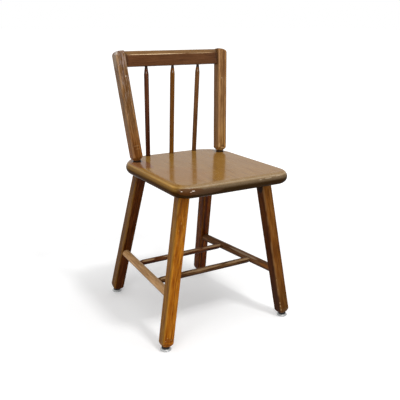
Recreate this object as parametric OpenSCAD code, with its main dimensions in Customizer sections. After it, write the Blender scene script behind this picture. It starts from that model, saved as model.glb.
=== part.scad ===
// Spindle-back wooden side chair. A thick round-edged seat stands on four splayed square legs.
// Two round side stretchers tie front legs to rear legs and carry two thinner cross stretchers.
// Two square posts lean back from the seat and hold a top rail, with three spindles under it.
// The chair faces -Y. Left and right are as seen by someone who stands in front of it.

/* [Seat] */
// Height of the seat's top face above the floor
seat_h = 450; // [400:5:500]
// Thickness of the seat plank, whose edge is a full half round
seat_t = 34; // [30:1:40]
// Width of the seat at its front edge
seat_front_w = 360; // [320:2:440]
// Width of the seat at its rear edge
seat_rear_w = 346; // [306:2:430]
// Depth of the seat from front edge to rear edge
seat_d = 380; // [340:2:460]
// Radius of the seat's front corners in plan
seat_front_r = 48; // [30:1:80]
// Radius of the seat's rear corners in plan
seat_rear_r = 89; // [40:1:100]
// How far the rounded edge stands proud of the seat's faces before they are planed flush
seat_edge_over = 0.05; // [0.05:0.05:0.2]

/* [Legs] */
// Side of the legs' square section
leg_w = 32; // [28:0.5:38]
// Radius that eases the legs' long edges
leg_edge_r = 4; // [1:0.5:6]
// Radius that rounds the legs' feet
foot_r = 12; // [4:1:14]
// Radius of the flat under each foot, before its sole is sawn level
foot_flat_r = 8; // [6:0.5:14]
// Depth sawn off each rounded foot to make its sole level
sole_cut = 1.5; // [1:0.25:4]
// Distance between the front legs' axes at the seat's underside
front_leg_gap = 256; // [220:2:280]
// Distance from the seat's front edge back to the front legs' axes
front_leg_inset = 72.5; // [50:0.5:90]
// Sideways splay of the front legs in degrees
front_splay = 9.5; // [4:0.5:12]
// Forward slope of the front legs in degrees
front_rake = 4.3; // [1:0.1:8]
// Turn of the front legs about their own axes in degrees
front_turn = 4; // [0:1:8]
// Distance between the rear legs' axes at the seat's underside
rear_leg_gap = 232; // [200:2:250]
// Distance from the seat's rear edge forward to the rear legs' axes
rear_leg_inset = 46; // [40:1:60]
// Sideways splay of the rear legs in degrees
rear_splay = 5.5; // [2:0.5:8]
// Backward slope of the rear legs in degrees
rear_rake = 14.8; // [8:0.1:16]
// Turn of the rear legs about their own axes in degrees
rear_turn = 2; // [0:1:8]
// Diameter of the round tenons at the legs' tops
leg_tenon_d = 22; // [16:1:26]
// Length of the legs' tenons inside the seat
leg_tenon_l = 20; // [12:1:24]

/* [Stretchers] */
// Height of the stretchers' axes above the floor
stretcher_z = 144; // [110:2:200]
// Diameter of the side stretchers
side_stretcher_d = 23.5; // [20:0.5:26]
// Diameter of the side stretchers' tenons in the legs
side_tenon_d = 16; // [12:1:18]
// Distance from the seat's front edge back to the front cross stretcher
cross_front_y = 159; // [120:1:200]
// Diameter of the front cross stretcher
cross_front_d = 18; // [14:0.5:20]
// Distance from the seat's front edge back to the rear cross stretcher
cross_rear_y = 298; // [240:1:320]
// Diameter of the rear cross stretcher
cross_rear_d = 16.5; // [14:0.5:20]
// Diameter of the cross stretchers' tenons in the side stretchers
cross_tenon_d = 10; // [8:0.5:12]
// Length of the tapered end of a cross stretcher
cross_taper_l = 8; // [4:1:16]
// Radius that the taper takes off a cross stretcher's end
cross_taper_r = 1.5; // [0.5:0.25:1.75]

/* [Posts] */
// Height of the posts' tops above the floor
post_top_z = 753; // [720:1:860]
// Side of the posts' square section
post_w = 30.5; // [28:0.5:36]
// Radius that eases the posts' long edges
post_edge_r = 5; // [1:0.5:6]
// Radius that rounds the posts' lower ends
post_end_r = 10; // [4:1:12]
// Radius of the flat at each post's lower end
post_flat_r = 12; // [11.5:0.5:16]
// Radius of each post's outer top corner
post_crown_r = 17; // [8:1:20]
// Radius of each post's top front edge
post_front_r = 12; // [4:1:14]
// Radius of each post's top rear edge
post_rear_r = 8; // [4:1:12]
// Radius of each post's inner top corner, beside the rail
post_inner_r = 3; // [1:0.5:6]
// Distance between the posts' axes at the seat's top face
post_gap = 280; // [240:2:290]
// Distance from the seat's rear edge forward to the posts' axes
post_inset = 72.5; // [60:0.5:90]
// Outward lean of the posts in degrees
post_splay = 5.3; // [0:0.1:8]
// Backward lean of the posts in degrees
post_rake = 9.3; // [4:0.1:12]
// Diameter of the posts' round tenons
post_tenon_d = 22; // [16:1:24]
// Length of the posts' tenons inside the seat
post_tenon_l = 20; // [12:1:24]
// Length of tenon left bare between the seat and a post
post_neck_l = 5; // [3:0.5:14]

/* [Top rail] */
// Height of the rail's underside above the floor, between the posts' axes
rail_z = 709; // [680:1:810]
// Height of the rail
rail_h = 44; // [36:1:60]
// Thickness of the rail
rail_t = 21; // [18:0.5:22]
// Depth of the rail's front face behind the posts' front faces
rail_recess = 6.3; // [2:0.1:8]
// Bevel along the rail's top front edge
rail_bevel = 12; // [4:0.5:13]
// Radius that eases the rail's other long edges
rail_edge_r = 2; // [1:0.5:3]
// Thickness of the rail's tenons
rail_tenon_t = 10; // [6:0.5:12]
// Height of the rail's tenons
rail_tenon_h = 24; // [16:1:30]
// Height of the rail's tenons above its underside
rail_tenon_z = 5; // [3:1:8]

/* [Spindles] */
// Diameter of the spindles
spindle_d = 14; // [12:0.5:18]
// Diameter of the spindles' necks and of their tenons
spindle_neck_d = 8; // [7:0.5:11]
// Length over which each spindle narrows under the rail
spindle_taper_l = 22; // [10:1:40]
// Distance from one spindle to the next at the seat
spindle_seat_gap = 79; // [60:1:90]
// Distance from one spindle to the next at the rail
spindle_rail_gap = 85; // [60:1:96]
// Distance from the seat's rear edge forward to the spindles
spindle_inset = 21; // [20:1:50]
// Length of the spindles' tenons, in the seat and in the rail
spindle_tenon_l = 14; // [8:1:18]

/* [Glides] */
// Diameter of the steel base that stands on the floor
glide_base_d = 30; // [24:1:34]
// Height of the steel base
glide_base_h = 6; // [3:0.5:8]
// Diameter of the rubber cushion
glide_cushion_d = 21; // [14:1:22]
// Height of the rubber cushion
glide_cushion_h = 5; // [4:0.5:10]
// Diameter of the glide's nail
nail_d = 3; // [2:0.5:4]
// Length of the nail inside the leg
nail_l = 16; // [10:1:24]
// Diameter of the nail's head, which sits inside the cushion
nail_head_d = 9; // [6:0.5:12]
// Thickness of the nail's head
nail_head_t = 1.5; // [1:0.25:2.5]

/* [Joints] */
// Clearance around each tenon and nail
fit_gap = 0.15; // [0.05:0.05:0.4]
// Clearance past the end of each tenon
end_gap = 1; // [0.5:0.25:2]

/* [Hidden] */
$fn = 96;

LEFT = -1;
RIGHT = 1;
FRONT = -1;
REAR = 1;

// Length by which a cutter or a hidden root reaches past the face it meets
lap = 6;
seat_under = seat_h - seat_t;
glide_h = glide_base_h + glide_cushion_h;

// The rear glides stand behind the seat, and the origin is midway between them and its front edge
rear_foot_reach = (seat_under - glide_h) * tan(rear_rake) + glide_base_d / 2 - rear_leg_inset;
seat_front_y = -(seat_d + rear_foot_reach) / 2;
seat_rear_y = seat_front_y + seat_d;

// Legs: side is LEFT or RIGHT, row is FRONT or REAR
function leg_x(row) = (row == FRONT ? front_leg_gap : rear_leg_gap) / 2;
function leg_y(row) = row == FRONT ? seat_front_y + front_leg_inset : seat_rear_y - rear_leg_inset;
function leg_splay(row) = row == FRONT ? front_splay : rear_splay;
function leg_rake(row) = row == FRONT ? front_rake : rear_rake;
function leg_turn(row) = row == FRONT ? front_turn : rear_turn;
function leg_rise(side, row) = [-side * tan(leg_splay(row)), -row * tan(leg_rake(row)), 1];
function on_leg(side, row, z) =
    [side * leg_x(row), leg_y(row), seat_under] + (z - seat_under) * leg_rise(side, row);

// Posts
function post_rise(side) = [side * tan(post_splay), tan(post_rake), 1];
function on_post(side, z) =
    [side * post_gap / 2, seat_rear_y - post_inset, seat_h] + (z - seat_h) * post_rise(side);

// The rail's own frame leans back with the posts, and its Y axis starts in their plane
rail_front_y = rail_recess - post_w / 2;
rail_mid_y = rail_front_y + rail_t / 2;
rail_half_l = on_post(RIGHT, rail_z + rail_h / 2).x;
function in_rail(x, y, z) = [
    x,
    on_post(RIGHT, rail_z).y + y * cos(post_rake) + z * sin(post_rake),
    rail_z - y * sin(post_rake) + z * cos(post_rake)
];

// Spindles: place is -1, 0 or 1 from left to right
function spindle_foot(place) = [place * spindle_seat_gap, seat_rear_y - spindle_inset, seat_h];
function spindle_head(place) = in_rail(place * spindle_rail_gap, rail_mid_y, 0);

// Point on a side stretcher's axis at depth y
function on_side_stretcher(side, y) =
    let (a = on_leg(side, FRONT, stretcher_z), b = on_leg(side, REAR, stretcher_z))
    a + (b - a) * (y - a.y) / (b.y - a.y);
function cross_end(side, y) = on_side_stretcher(side, seat_front_y + y);

// Turns children so that their Z axis runs along a direction, with their X axis kept out of Y
module along(direction) {
    tip = -atan2(direction.y, norm([direction.x, direction.z]));
    rotate([tip, atan2(direction.x, direction.z), 0]) children();
}

// A rod from one point to another
module rod(from, to, d) {
    translate(from) along(to - from) cylinder(d = d, h = norm(to - from));
}

// A flat rectangle from the origin whose corners have their own radii, anticlockwise from the origin
module rounded_outline(w, h, radii) {
    difference() {
        square([w, h]);
        square(radii[0]);
        translate([w - radii[1], 0]) square(radii[1]);
        translate([w - radii[2], h - radii[2]]) square(radii[2]);
        translate([0, h - radii[3]]) square(radii[3]);
    }
    translate([radii[0], radii[0]]) circle(radii[0]);
    translate([w - radii[1], radii[1]]) circle(radii[1]);
    translate([w - radii[2], h - radii[2]]) circle(radii[2]);
    translate([radii[3], h - radii[3]]) circle(radii[3]);
}

// A square bar standing on the origin, centred, with eased long edges
module eased_bar(w, length, edge_r) {
    translate([-w / 2, -w / 2, 0]) linear_extrude(length)
        rounded_outline(w, w, [edge_r, edge_r, edge_r, edge_r]);
}

// An eased bar whose ends are cut by an outline seen from the front and one seen from the right.
// A ball as wide as the bar's diagonal rounds the lower end's corners, down to a flat of radius flat_r.
module shaped_bar(w, length, edge_r, front_radii, side_radii, flat_r) {
    ball_r = w / sqrt(2);
    ball_z = sqrt(ball_r * ball_r - flat_r * flat_r);
    intersection() {
        eased_bar(w, length, edge_r);
        translate([-w / 2, 0, 0]) rotate([90, 0, 0]) linear_extrude(2 * w, center = true)
            rounded_outline(w, length, front_radii);
        translate([0, -w / 2, 0]) rotate([90, 0, 90]) linear_extrude(2 * w, center = true)
            rounded_outline(w, length, side_radii);
        union() {
            translate([0, 0, ball_z]) sphere(ball_r);
            translate([-w, -w, ball_z]) cube([2 * w, 2 * w, length]);
        }
    }
}

// --- Seat ---

seat_edge_r = seat_t / 2;
seat_side_tilt = atan((seat_front_w - seat_rear_w) / 2 / seat_d);

// Half width of the seat's straight side line at a distance from its front edge
function seat_half_w(y) = (seat_front_w + (seat_rear_w - seat_front_w) * y / seat_d) / 2;
function seat_corner_r(row) = row == FRONT ? seat_front_r : seat_rear_r;
function seat_corner(side, row) =
    let (r = seat_corner_r(row), y = row == FRONT ? r : seat_d - r)
    [side * (seat_half_w(y) - r / cos(seat_side_tilt)), seat_front_y + y];

// Where the flat middle of the seat meets the straight sides and the front and rear edges
function seat_core_r(row) = seat_corner_r(row) - seat_edge_r;
function core_side(side, row) =
    seat_corner(side, row) + seat_core_r(row) * [side * cos(seat_side_tilt), sin(seat_side_tilt)];
function core_end(side, row) = seat_corner(side, row) + [0, row * seat_core_r(row)];
seat_core = [
    core_end(LEFT, FRONT), core_end(RIGHT, FRONT), core_side(RIGHT, FRONT), core_side(RIGHT, REAR),
    core_end(RIGHT, REAR), core_end(LEFT, REAR), core_side(LEFT, REAR), core_side(LEFT, FRONT)
];

// Straight stretch of the seat's half-round edge between two points of its flat middle
module seat_edge(from, to) {
    mid_z = seat_h - seat_edge_r;
    rod(concat(from, mid_z), concat(to, mid_z), seat_t + 2 * seat_edge_over);
}

// Corner disc and its round edge, which stands a little prouder than the straight edges beside it
module seat_corner_piece(side, row) {
    translate(concat(seat_corner(side, row), seat_under)) rotate([0, 0, side == RIGHT ? 180 : 0]) {
        cylinder(r = seat_core_r(row), h = seat_t);
        translate([0, 0, seat_edge_r]) rotate_extrude() translate([seat_core_r(row), 0])
            circle(seat_edge_r + 2 * seat_edge_over);
    }
}

module seat_plank() {
    intersection() {
        union() {
            translate([0, 0, seat_under]) linear_extrude(seat_t) polygon(seat_core);
            for (i = [0:2:6]) seat_edge(seat_core[i], seat_core[i + 1]);
            for (side = [LEFT, RIGHT], row = [FRONT, REAR]) seat_corner_piece(side, row);
        }
        translate([-seat_front_w, seat_front_y - lap, seat_under])
            cube([2 * seat_front_w, seat_d + 2 * lap, seat_t]);
    }
}

module seat() {
    color("#9c6b45") difference() {
        seat_plank();
        for (side = [LEFT, RIGHT], row = [FRONT, REAR])
            translate(on_leg(side, row, seat_under)) along(leg_rise(side, row)) translate([0, 0, -lap])
                cylinder(d = leg_tenon_d + 2 * fit_gap, h = leg_tenon_l + lap + end_gap);
        for (side = [LEFT, RIGHT])
            translate(on_post(side, seat_h)) along(post_rise(side)) translate([0, 0, -post_tenon_l - end_gap])
                cylinder(d = post_tenon_d + 2 * fit_gap, h = post_tenon_l + end_gap + lap);
        for (place = [-1:1])
            translate(spindle_foot(place)) along(spindle_head(place) - spindle_foot(place))
                translate([0, 0, -spindle_tenon_l - end_gap])
                    cylinder(d = spindle_neck_d + 2 * fit_gap, h = spindle_tenon_l + end_gap + lap);
    }
}

// --- Legs ---

// The leg's plain bar, longer than the leg at both ends
module leg_bar(side, row) {
    bar_l = (seat_under + 2 * leg_w) * norm(leg_rise(side, row));
    translate(on_leg(side, row, -leg_w)) along(leg_rise(side, row)) rotate([0, 0, side * leg_turn(row)])
        eased_bar(leg_w, bar_l, leg_edge_r);
}

// The leg from its rounded, level-soled foot to the seat's underside
module leg_shaft(side, row) {
    sole = on_leg(side, row, glide_h);
    reach = 2 * leg_w + seat_under * tan(leg_rake(row) + leg_splay(row));
    bar_l = seat_h * norm(leg_rise(side, row));
    foot_radii = [foot_r, foot_r, leg_edge_r, leg_edge_r];
    intersection() {
        translate(sole) along(leg_rise(side, row)) rotate([0, 0, side * leg_turn(row)])
            translate([0, 0, -sole_cut])
                shaped_bar(leg_w, bar_l, leg_edge_r, foot_radii, foot_radii, foot_flat_r);
        translate([sole.x - reach, sole.y - reach, glide_h])
            cube([2 * reach, 2 * reach, seat_under - glide_h]);
    }
}

module leg(side, row) {
    stretcher_root = on_leg(side, row, stretcher_z);
    stretcher_way = on_leg(side, -row, stretcher_z) - stretcher_root;
    difference() {
        leg_shaft(side, row);
        translate(stretcher_root) along(stretcher_way) translate([0, 0, -end_gap])
            cylinder(d = side_tenon_d + 2 * fit_gap, h = leg_w + end_gap);
        translate(on_leg(side, row, glide_h) - [0, 0, lap])
            cylinder(d = nail_d + 2 * fit_gap, h = nail_l + lap + end_gap);
    }
    translate(on_leg(side, row, seat_under)) along(leg_rise(side, row)) translate([0, 0, -lap])
        cylinder(d = leg_tenon_d, h = leg_tenon_l + lap);
}

module leg_front_left() { color("#8a5224") leg(LEFT, FRONT); }
module leg_front_right() { color("#5c3516") leg(RIGHT, FRONT); }
module leg_rear_left() { color("#54290f") leg(LEFT, REAR); }
module leg_rear_right() { color("#4a240d") leg(RIGHT, REAR); }

// --- Stretchers ---

module side_stretcher(side) {
    from = on_leg(side, FRONT, stretcher_z);
    to = on_leg(side, REAR, stretcher_z);
    difference() {
        union() {
            difference() {
                rod(from, to, side_stretcher_d);
                leg_bar(side, FRONT);
                leg_bar(side, REAR);
            }
            rod(from, to, side_tenon_d);
        }
        for (y = [cross_front_y, cross_rear_y])
            translate(cross_end(side, y)) rotate([0, -side * 90, 0]) translate([0, 0, -end_gap])
                cylinder(d = cross_tenon_d + 2 * fit_gap, h = side_stretcher_d + end_gap);
    }
}

module side_stretcher_left() { color("#a8774a") side_stretcher(LEFT); }
module side_stretcher_right() { color("#5a3418") side_stretcher(RIGHT); }

// One tapered half of a cross stretcher, from a side stretcher's axis to the middle plane
module cross_half(side, y, d) {
    end = cross_end(side, y);
    thick_x = end.x - side * (side_stretcher_d / 2 + cross_taper_l);
    thin_d = d - 2 * cross_taper_r;
    translate(end) rotate([0, -side * 90, 0]) cylinder(d = thin_d, h = side_stretcher_d / 2);
    translate([thick_x, end.y, end.z]) rotate([0, side * 90, 0])
        cylinder(d1 = d, d2 = thin_d, h = cross_taper_l);
    translate([thick_x, end.y, end.z]) rotate([0, -side * 90, 0]) cylinder(d = d, h = abs(thick_x));
}

module cross_stretcher(y, d) {
    difference() {
        for (side = [LEFT, RIGHT]) cross_half(side, y, d);
        for (side = [LEFT, RIGHT])
            rod(on_leg(side, FRONT, stretcher_z), on_leg(side, REAR, stretcher_z), side_stretcher_d);
    }
    rod(cross_end(LEFT, y), cross_end(RIGHT, y), cross_tenon_d);
}

module cross_stretcher_front() { color("#6b4526") cross_stretcher(cross_front_y, cross_front_d); }
module cross_stretcher_rear() { color("#6e4429") cross_stretcher(cross_rear_y, cross_rear_d); }

// --- Back ---

// The post's plain bar, from its rounded lower end to its top
module post_bar(side) {
    translate(on_post(side, seat_h)) along(post_rise(side)) translate([0, 0, post_neck_l])
        eased_bar(post_w, (post_top_z - seat_h) * norm(post_rise(side)) - post_neck_l, post_edge_r);
}

// The box that the rail's tenons fill, from post axis to post axis
module rail_tenon(gap) {
    translate(in_rail(0, 0, 0)) rotate([-post_rake, 0, 0])
        translate([-rail_half_l - gap, rail_mid_y - rail_tenon_t / 2 - gap, rail_tenon_z - gap])
            cube([2 * (rail_half_l + gap), rail_tenon_t + 2 * gap, rail_tenon_h + 2 * gap]);
}

module post(side) {
    body_l = (post_top_z - seat_h) * norm(post_rise(side)) - post_neck_l;
    left_r = side == LEFT ? post_crown_r : post_inner_r;
    right_r = side == LEFT ? post_inner_r : post_crown_r;
    difference() {
        translate(on_post(side, seat_h)) along(post_rise(side)) translate([0, 0, post_neck_l])
            shaped_bar(
                post_w,
                body_l,
                post_edge_r,
                [post_end_r, post_end_r, right_r, left_r],
                [post_end_r, post_end_r, post_rear_r, post_front_r],
                post_flat_r
            );
        rail_tenon(fit_gap);
    }
    translate(on_post(side, seat_h)) along(post_rise(side)) translate([0, 0, -post_tenon_l])
        cylinder(d = post_tenon_d, h = post_tenon_l + post_neck_l + lap);
}

module post_left() { color("#80603f") post(LEFT); }
module post_right() { color("#845a30") post(RIGHT); }

// The rail's section, seen from the right, with its front face on the Y axis
module rail_section() {
    difference() {
        rounded_outline(rail_t, rail_h, [rail_edge_r, rail_edge_r, rail_edge_r, rail_edge_r]);
        translate([0, rail_h - rail_bevel]) rotate(45) square(2 * rail_bevel);
    }
}

module top_rail() {
    color("#643f24") difference() {
        union() {
            difference() {
                translate(in_rail(0, rail_front_y, 0)) rotate([-post_rake, 0, 0]) rotate([90, 0, 90])
                    linear_extrude(2 * rail_half_l, center = true) rail_section();
                for (side = [LEFT, RIGHT]) post_bar(side);
            }
            rail_tenon(0);
        }
        for (place = [-1:1])
            translate(spindle_head(place)) along(spindle_head(place) - spindle_foot(place))
                translate([0, 0, -lap])
                    cylinder(d = spindle_neck_d + 2 * fit_gap, h = spindle_tenon_l + lap + end_gap);
    }
}

module spindle(place) {
    foot = spindle_foot(place);
    way = spindle_head(place) - foot;
    shaft_l = norm(way) - spindle_taper_l;
    difference() {
        translate(foot) along(way) translate([0, 0, -lap]) cylinder(d = spindle_d, h = shaft_l + lap);
        translate(foot - [spindle_d, spindle_d, 2 * lap]) cube([2 * spindle_d, 2 * spindle_d, 2 * lap]);
    }
    translate(foot) along(way) {
        translate([0, 0, shaft_l]) cylinder(d1 = spindle_d, d2 = spindle_neck_d, h = spindle_taper_l);
        translate([0, 0, -spindle_tenon_l]) cylinder(d = spindle_neck_d, h = norm(way) + 2 * spindle_tenon_l);
    }
}

module spindle_left() { color("#4a2312") spindle(-1); }
module spindle_middle() { color("#7a4217") spindle(0); }
module spindle_right() { color("#6a3f1c") spindle(1); }

// --- Glides ---

module on_sole(side, row) {
    sole = on_leg(side, row, glide_h);
    translate([sole.x, sole.y, 0]) children();
}

// A shallow steel dish with a bevelled shoulder
module glide_base(side, row) {
    rim = glide_base_d / 2;
    shoulder = glide_base_h / 2;
    color("#b9bcbb") on_sole(side, row) rotate_extrude()
        polygon([
            [0, 0], [rim - shoulder / 2, 0], [rim, shoulder / 2],
            [rim, shoulder], [rim - shoulder, glide_base_h], [0, glide_base_h]
        ]);
}

module glide_cushion(side, row) {
    color("#161312") on_sole(side, row) translate([0, 0, glide_base_h]) difference() {
        cylinder(d = glide_cushion_d, h = glide_cushion_h);
        translate([0, 0, -lap]) cylinder(d = nail_d + 2 * fit_gap, h = glide_cushion_h + 2 * lap);
        translate([0, 0, -lap]) cylinder(d = nail_head_d + 2 * fit_gap, h = nail_head_t + fit_gap + lap);
    }
}

module glide_nail(side, row) {
    color("#8f9291") on_sole(side, row) translate([0, 0, glide_base_h]) {
        cylinder(d = nail_head_d, h = nail_head_t);
        cylinder(d = nail_d, h = glide_cushion_h + nail_l);
    }
}

module glide_base_front_left() { glide_base(LEFT, FRONT); }
module glide_cushion_front_left() { glide_cushion(LEFT, FRONT); }
module glide_nail_front_left() { glide_nail(LEFT, FRONT); }
module glide_base_front_right() { glide_base(RIGHT, FRONT); }
module glide_cushion_front_right() { glide_cushion(RIGHT, FRONT); }
module glide_nail_front_right() { glide_nail(RIGHT, FRONT); }
module glide_base_rear_left() { glide_base(LEFT, REAR); }
module glide_cushion_rear_left() { glide_cushion(LEFT, REAR); }
module glide_nail_rear_left() { glide_nail(LEFT, REAR); }
module glide_base_rear_right() { glide_base(RIGHT, REAR); }
module glide_cushion_rear_right() { glide_cushion(RIGHT, REAR); }
module glide_nail_rear_right() { glide_nail(RIGHT, REAR); }

seat();
leg_front_left();
leg_front_right();
leg_rear_left();
leg_rear_right();
side_stretcher_left();
side_stretcher_right();
cross_stretcher_front();
cross_stretcher_rear();
post_left();
post_right();
top_rail();
spindle_left();
spindle_middle();
spindle_right();
glide_base_front_left();
glide_cushion_front_left();
glide_nail_front_left();
glide_base_front_right();
glide_cushion_front_right();
glide_nail_front_right();
glide_base_rear_left();
glide_cushion_rear_left();
glide_nail_rear_left();
glide_base_rear_right();
glide_cushion_rear_right();
glide_nail_rear_right();
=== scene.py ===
from math import atan2, cos, hypot, radians, sin, tan

import bpy
from mathutils import Euler, Matrix, Vector


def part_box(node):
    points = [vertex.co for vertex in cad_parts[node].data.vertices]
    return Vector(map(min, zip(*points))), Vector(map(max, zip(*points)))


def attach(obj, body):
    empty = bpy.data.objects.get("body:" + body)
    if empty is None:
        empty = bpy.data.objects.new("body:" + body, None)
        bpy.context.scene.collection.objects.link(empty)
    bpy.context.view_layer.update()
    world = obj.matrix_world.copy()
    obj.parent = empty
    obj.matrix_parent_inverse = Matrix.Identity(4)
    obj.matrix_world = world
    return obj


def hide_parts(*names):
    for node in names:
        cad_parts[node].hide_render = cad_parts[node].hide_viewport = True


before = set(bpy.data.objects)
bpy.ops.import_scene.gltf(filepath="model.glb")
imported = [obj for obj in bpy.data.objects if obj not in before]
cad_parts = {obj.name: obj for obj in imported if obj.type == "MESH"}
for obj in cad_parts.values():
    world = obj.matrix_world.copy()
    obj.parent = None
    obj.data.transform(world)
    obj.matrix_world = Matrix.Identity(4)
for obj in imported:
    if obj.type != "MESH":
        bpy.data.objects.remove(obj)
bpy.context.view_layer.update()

LEFT, RIGHT, FRONT, REAR = -1, 1, -1, 1
SIDE_NAME = {LEFT: "left", RIGHT: "right"}
ROW_NAME = {FRONT: "front", REAR: "rear"}
SIDES, ROWS = (LEFT, RIGHT), (FRONT, REAR)

# --------------------------------------------------------------------------------------
# Sizes in metres, the same as the frame's own
# --------------------------------------------------------------------------------------
seat_low, seat_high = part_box("seat")
SEAT_TOP, SEAT_UNDER = seat_high.z, seat_low.z
SEAT_FRONT, SEAT_REAR = seat_low.y, seat_high.y
SEAT_MID = (SEAT_FRONT + SEAT_REAR) / 2
SEAT_T = SEAT_TOP - SEAT_UNDER
SEAT_FRONT_HALF, SEAT_REAR_HALF = 0.1798, 0.1728
SEAT_FRONT_R, SEAT_REAR_R = 0.048, 0.089

# each row's legs: distance from the middle, inset from the seat's edge, splay, rake and turn about the leg
LEGS = {
    FRONT: (0.128, 0.0725, radians(9.5), radians(4.3), radians(4)),
    REAR: (0.116, 0.046, radians(5.5), radians(14.8), radians(2)),
}
LEG_W, LEG_TENON_D, TENON_L, FIT = 0.032, 0.022, 0.021, 0.00015
POST_W, POST_TENON_D, POST_X, POST_INSET = 0.0305, 0.022, 0.14, 0.0725
POST_SPLAY, POST_RAKE = radians(5.3), radians(9.3)
RAIL_Z, RAIL_FRONT, RAIL_T, RAIL_H, RAIL_BEVEL = 0.709, 0.0063 - POST_W / 2, 0.021, 0.044, 0.012
STRETCHER_Z, SIDE_STRETCHER_D = 0.144, 0.0235
CROSS_STRETCHERS = {FRONT: (0.159, 0.018), REAR: (0.298, 0.0165)}
CROSS_TAPER_L, CROSS_TAPER_R = 0.008, 0.0015
SPINDLE_D, SPINDLE_NECK_D, SPINDLE_TAPER, SPINDLE_TENON = 0.014, 0.008, 0.022, 0.014
SPINDLE_SEAT_GAP, SPINDLE_RAIL_GAP, SPINDLE_INSET = 0.079, 0.085, 0.021


def leg_point(side, row, z):
    """Point on a leg's axis at height z."""
    x, inset, splay, rake, _ = LEGS[row]
    edge = SEAT_FRONT if row == FRONT else SEAT_REAR
    drop = SEAT_UNDER - z
    return Vector((side * (x + drop * tan(splay)), edge - row * inset + row * drop * tan(rake), z))


def post_point(side, z):
    """Point on a post's axis at height z."""
    rise = z - SEAT_TOP
    x = POST_X + rise * tan(POST_SPLAY)
    return Vector((side * x, SEAT_REAR - POST_INSET + rise * tan(POST_RAKE), z))


def stretcher_point(side, y):
    """Point on a side stretcher's axis at depth y."""
    a, b = leg_point(side, FRONT, STRETCHER_Z), leg_point(side, REAR, STRETCHER_Z)
    return a + (b - a) * (y - a.y) / (b.y - a.y)


def spindle_ends(place):
    """Where a spindle's axis meets the seat's top and the rail's underside."""
    rail_mid = RAIL_FRONT + RAIL_T / 2
    foot = Vector((place * SPINDLE_SEAT_GAP, SEAT_REAR - SPINDLE_INSET, SEAT_TOP))
    head = Vector((place * SPINDLE_RAIL_GAP, post_point(LEFT, RAIL_Z).y, RAIL_Z))
    return foot, head + rail_mid * Vector((0, cos(POST_RAKE), -sin(POST_RAKE)))


def along(direction):
    """Turn that lays the Z axis along a direction and keeps the X axis level in depth."""
    x, y, z = direction
    return Euler((-atan2(y, hypot(x, z)), atan2(x, z), 0)).to_matrix()


def placed(origin, turn):
    """Matrix of a piece's own frame, from its origin and its turn."""
    return Matrix.Translation(origin) @ turn.to_4x4()


# --------------------------------------------------------------------------------------
# Modelling helpers
# --------------------------------------------------------------------------------------
NEAR = 1e-5


def only(obj):
    """Selects one object and makes it the active one."""
    bpy.ops.object.select_all(action="DESELECT")
    obj.select_set(True)
    bpy.context.view_layer.objects.active = obj
    return obj


def new_piece(name):
    """Names the primitive just added and leaves it alone selected."""
    obj = only(bpy.context.object)
    obj.name = name
    return obj


def pick(obj, verts=None, edges=None, faces=None):
    """In edit mode, selects what the given test accepts."""
    bpy.ops.object.mode_set(mode="EDIT")
    bpy.ops.mesh.select_all(action="DESELECT")
    bpy.ops.object.mode_set(mode="OBJECT")
    mesh = obj.data
    if verts:
        bpy.context.tool_settings.mesh_select_mode = (True, False, False)
        for v in mesh.vertices:
            v.select = bool(verts(v.co))
    if edges:
        bpy.context.tool_settings.mesh_select_mode = (False, True, False)
        for e in mesh.edges:
            a, b = (mesh.vertices[i].co for i in e.vertices)
            e.select = bool(edges(a, b))
    if faces:
        bpy.context.tool_settings.mesh_select_mode = (False, False, True)
        for f in mesh.polygons:
            f.select = bool(faces(f.center, f.normal))
    bpy.ops.object.mode_set(mode="EDIT")


def done():
    """Leaves edit mode."""
    bpy.ops.object.mode_set(mode="OBJECT")


def apply_modifier(obj, kind, **settings):
    """Adds a modifier with its settings and applies it."""
    only(obj)
    mod = obj.modifiers.new(kind.lower(), kind)
    for key, value in settings.items():
        setattr(mod, key, value)
    bpy.ops.object.modifier_apply(modifier=mod.name)


def settle(obj, matrix):
    """Puts a piece in its place and leaves its object at the origin, unturned and unscaled."""
    obj.matrix_world = matrix
    only(obj)
    bpy.ops.object.transform_apply(location=True, rotation=True, scale=True)


def smooth(obj, angle):
    """Shades smooth across edges that turn by less than the angle in degrees."""
    only(obj)
    bpy.ops.object.shade_smooth_by_angle(angle=radians(angle))


def clouds(name, size, depth):
    tex = bpy.data.textures.new(name, "CLOUDS")
    tex.noise_scale, tex.noise_depth = size, depth
    return tex


HANDWORK = clouds("handwork", 0.05, 2)
KNOCKS = clouds("knocks", 0.008, 1)


def knock_group(obj, knocks):
    """Marks the points within reach of each (centre, reach) as the ones that took knocks."""
    group = obj.vertex_groups.new(name="knocked")
    for v in obj.data.vertices:
        nearest = max(1 - (v.co - Vector(centre)).length / reach for centre, reach in knocks)
        if nearest > 0:
            group.add([v.index], min(1.0, 2 * nearest), "REPLACE")
    return group.name


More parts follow.
